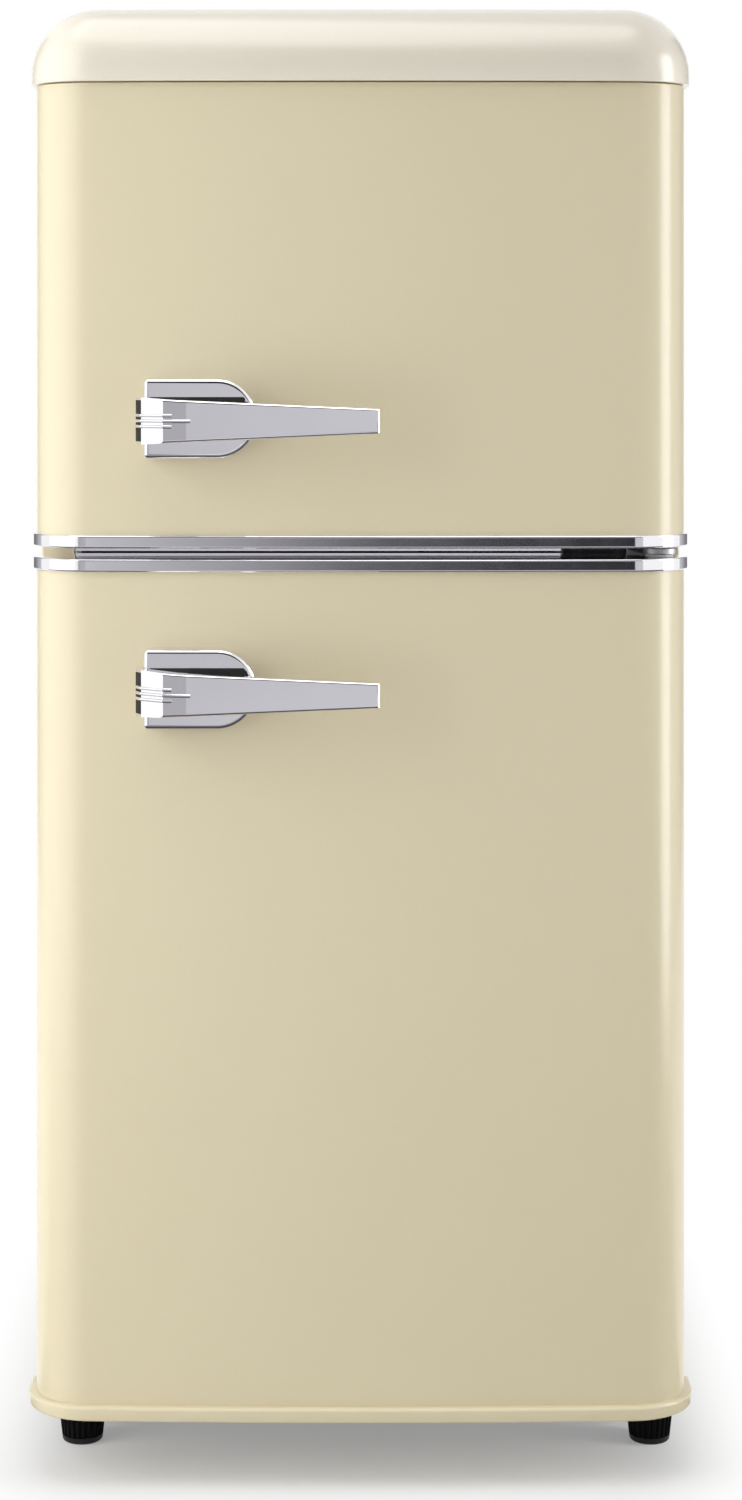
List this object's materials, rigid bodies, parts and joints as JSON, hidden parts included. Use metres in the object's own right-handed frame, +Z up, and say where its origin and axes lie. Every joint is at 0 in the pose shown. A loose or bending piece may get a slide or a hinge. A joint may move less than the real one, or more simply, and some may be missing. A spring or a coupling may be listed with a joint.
{
  "type": "mini fridge",
  "caption": "Retro upright mini fridge: cream cabinet with a bullnosed cap, freezer door over fridge door on right-hand hinges, chrome lever handles and trims, levelling feet.",
  "frame": {"origin": "on the floor, under the middle of the fridge's box", "axes": "+Z up, -Y to the front where the doors are, +X to the hinge side"},
  "size_m": [0.4096, 0.516, 0.9],
  "materials": {
    "cream_paint": "smooth gloss enamel",
    "cream_plastic": "moulded, gloss",
    "chrome": "polished plating",
    "white_plastic": "vacuum formed, soft gloss",
    "clear_plastic": "moulded, translucent",
    "foam": "rigid foam",
    "gasket": "soft extrusion",
    "glass": "toughened",
    "zinc_steel": "galvanised",
    "grey_paint": "satin paint",
    "black_paint": "satin paint",
    "white_wire": "coated wire",
    "aluminium": "mill finish",
    "copper": "drawn tube",
    "black_plastic": "moulded",
    "black_rubber": "moulded",
    "acetal": "moulded"
  },
  "bodies": {
    "cabinet": {"cabinet_shell": "cream_paint", "cabinet_insulation": "foam", "freezer_liner": "white_plastic", "fridge_liner": "white_plastic", "bottom_panel": "zinc_steel", "back_panel": "grey_paint", "top_cap": "cream_plastic", "mullion_rail": "chrome", "top_hinge": "zinc_steel", "middle_hinge": "zinc_steel", "bottom_hinge": "zinc_steel", "left_foot_bracket": "zinc_steel", "cabinet_fasteners": "zinc_steel", "base_plate": "zinc_steel", "rear_feet": "black_plastic", "cord_gland": "black_plastic", "compressor": "black_paint", "compressor_grommets": "black_rubber", "terminal_cover": "black_plastic", "refrigerant_tubes": "copper", "filter_drier": "copper", "drain_pan": "black_plastic", "drain_tube": "black_rubber", "condenser_tube": "black_paint", "evaporator": "aluminium", "thermostat_housing": "white_plastic", "freezer_shelf": "white_wire", "upper_shelf": "glass", "lower_shelf": "glass", "crisper_cover": "glass", "shelf_trims": "white_plastic", "crisper_drawer": "clear_plastic"},
    "freezer_door": {"freezer_door_skin": "cream_paint", "freezer_door_insulation": "foam", "freezer_door_liner": "white_plastic", "freezer_door_gasket": "gasket", "freezer_door_top": "cream_plastic", "freezer_door_trim": "chrome", "freezer_door_bushes": "acetal", "freezer_door_rack": "clear_plastic", "freezer_door_handle_base": "chrome", "freezer_door_handle_lever": "chrome", "freezer_door_handle_screws": "zinc_steel"},
    "fridge_door": {"fridge_door_skin": "cream_paint", "fridge_door_insulation": "foam", "fridge_door_liner": "white_plastic", "fridge_door_gasket": "gasket", "fridge_door_trim": "chrome", "fridge_door_base_trim": "cream_plastic", "fridge_door_bushes": "acetal", "fridge_door_handle_base": "chrome", "fridge_door_handle_lever": "chrome", "fridge_door_handle_screws": "zinc_steel", "bottle_rack": "clear_plastic", "upper_door_rack": "clear_plastic"},
    "thermostat_dial": {"thermostat_knob": "white_plastic"},
    "left_foot": {"left_foot_knob": "black_plastic", "left_foot_stud": "zinc_steel"},
    "right_foot": {"right_foot_knob": "black_plastic", "right_foot_stud": "zinc_steel"}
  },
  "joints": [
    {"name": "freezer_door_hinge", "type": "hinge", "parent": "cabinet", "child": "freezer_door", "pos_m": [0.184, -0.19, 0.71], "axis": [0, 0, 1], "range_deg": [0, 120]},
    {"name": "fridge_door_hinge", "type": "hinge", "parent": "cabinet", "child": "fridge_door", "pos_m": [0.184, -0.19, 0.3], "axis": [0, 0, 1], "range_deg": [0, 120]},
    {"name": "thermostat_turn", "type": "hinge", "parent": "cabinet", "child": "thermostat_dial", "pos_m": [0.142, 0.01, 0.492], "axis": [1, 0, 0], "range_deg": [0, 270]},
    {"name": "left_foot_level", "type": "slide", "parent": "cabinet", "child": "left_foot", "axis": [0, 0, 1], "range_m": [-0.01, 0.006]},
    {"name": "right_foot_level", "type": "slide", "parent": "cabinet", "child": "right_foot", "axis": [0, 0, 1], "range_m": [-0.01, 0.006]}
  ]
}
